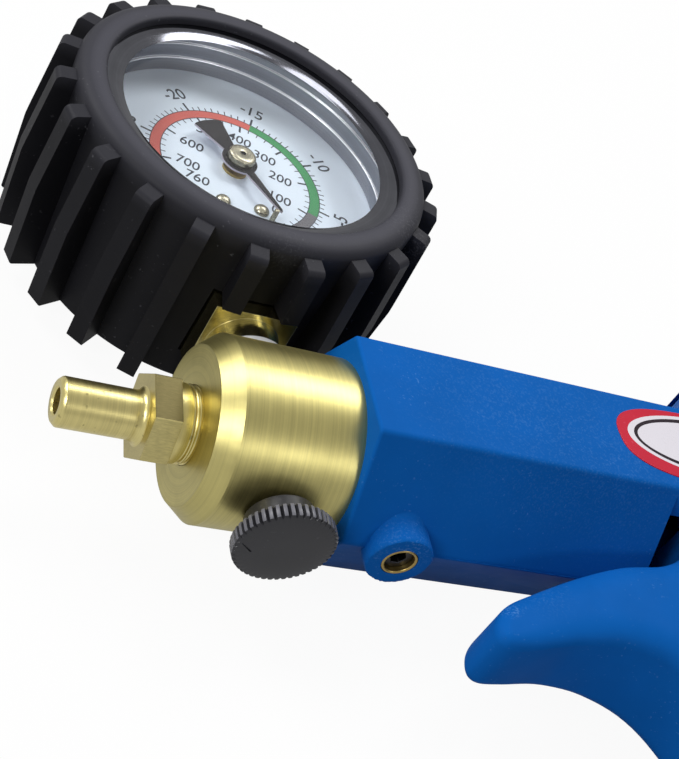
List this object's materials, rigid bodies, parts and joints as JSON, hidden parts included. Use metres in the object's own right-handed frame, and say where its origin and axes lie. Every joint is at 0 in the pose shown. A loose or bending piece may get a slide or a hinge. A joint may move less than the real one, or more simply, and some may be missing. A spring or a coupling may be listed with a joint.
{
  "type": "hand vacuum pump",
  "caption": "Pistol-grip hand vacuum pump with hexagonal body, brass head, hose nipple, booted vacuum gauge, release knob and sprung squeeze lever",
  "frame": {"origin": "centre of the hose nipple's tip, on the barrel axis", "axes": "+X rearward along the barrel, +Y towards the gauge, +Z out through the dial; the pump lies on its flat -Z side"},
  "size_m": [0.2172, 0.197, 0.0389],
  "materials": {
    "blue_plastic": "satin moulded",
    "brass": "turned",
    "black_rubber": "matte",
    "black_plastic": "satin",
    "white_plastic": "satin",
    "steel": "ground",
    "dark_steel": "satin",
    "aluminium": "turned",
    "chrome": "polished",
    "clear_lens": "clear",
    "dial_white": "satin",
    "pointer_black": "matte",
    "badge_red": "glossy"
  },
  "bodies": {
    "pump": {"pump_body": "blue_plastic", "clamp_insert": "brass", "clamp_screw": "steel", "brass_head": "brass", "hose_nipple": "brass", "head_o_ring": "black_rubber", "cylinder_tube": "brass", "cylinder_guide": "black_plastic", "check_retainer": "brass", "check_spring": "steel", "return_spring": "steel", "gauge_stem": "brass", "stem_washer": "white_plastic", "gauge_case": "dark_steel", "gauge_boot": "black_rubber", "gauge_bezel": "chrome", "gauge_lens": "clear_lens", "lens_ring": "chrome", "gauge_dial": "dial_white", "dial_screws": "steel", "stop_post": "steel", "movement_plates": "brass", "sector_pin": "steel", "bourdon_tube": "brass", "pivot_pin": "steel", "pin_clip": "steel", "badge": "badge_red"},
    "squeeze_lever": {"lever": "blue_plastic"},
    "piston_group": {"piston": "aluminium", "piston_seal": "black_rubber", "piston_washer": "steel", "piston_rod": "steel", "rod_pin": "steel"},
    "valve_ball": {"check_ball": "steel"},
    "valve_pad": {"release_pad": "black_rubber"},
    "release_valve": {"release_knob": "black_plastic", "release_spindle": "brass", "release_o_ring": "black_rubber"},
    "gauge_hand": {"pointer": "pointer_black", "pointer_cap": "chrome", "pointer_shaft": "brass"},
    "gauge_sector": {"sector_gear": "brass"},
    "gauge_link": {"tube_link": "steel"}
  },
  "joints": [
    {"name": "lever_squeeze", "type": "hinge", "parent": "pump", "child": "squeeze_lever", "pos_m": [0.138, 0.026, 0], "axis": [0, 0, 1], "range_deg": [0, 24], "stiffness_Nm_per_rad": 0.3, "springref_deg": -17.19},
    {"name": "piston_slide", "type": "slide", "parent": "pump", "child": "piston_group", "axis": [1, 0, 0], "range_m": [0, 0.0111], "deforming": ["return_spring"]},
    {"name": "check_ball_lift", "type": "slide", "parent": "pump", "child": "valve_ball", "axis": [1, 0, 0], "range_m": [0, 0.0012], "stiffness_N_per_m": 20, "springref_m": -0.002, "deforming": ["check_spring"]},
    {"name": "release_lift", "type": "slide", "parent": "pump", "child": "valve_pad", "axis": [0, -1, 0], "range_m": [0, 0.00105]},
    {"name": "release_turn", "type": "hinge", "parent": "valve_pad", "child": "release_valve", "pos_m": [0.0351, -0.021, 0], "axis": [0, -1, 0], "range_deg": [0, 540]},
    {"name": "pointer_turn", "type": "hinge", "parent": "pump", "child": "gauge_hand", "pos_m": [0.034, 0.0572, 0.0112], "axis": [0, 0, 1], "range_deg": [0, 270], "stiffness_Nm_per_rad": 0.0001},
    {"name": "sector_turn", "type": "hinge", "parent": "pump", "child": "gauge_sector", "pos_m": [0.02343, 0.05335, 0], "axis": [0, 0, 1], "range_deg": [-39, 0]},
    {"name": "link_slide", "type": "slide", "parent": "pump", "child": "gauge_link", "axis": [0, 1, 0], "range_m": [0, 0.0029]}
  ],
  "couplings": [
    {"joint": "piston_slide", "follows": "lever_squeeze", "m_per_rad": 0.026387},
    {"joint": "release_turn", "follows": "release_lift", "rad_per_m": 8975.7},
    {"joint": "pointer_turn", "follows": "link_slide", "rad_per_m": 1624.9},
    {"joint": "sector_turn", "follows": "link_slide", "rad_per_m": -232.13}
  ]
}
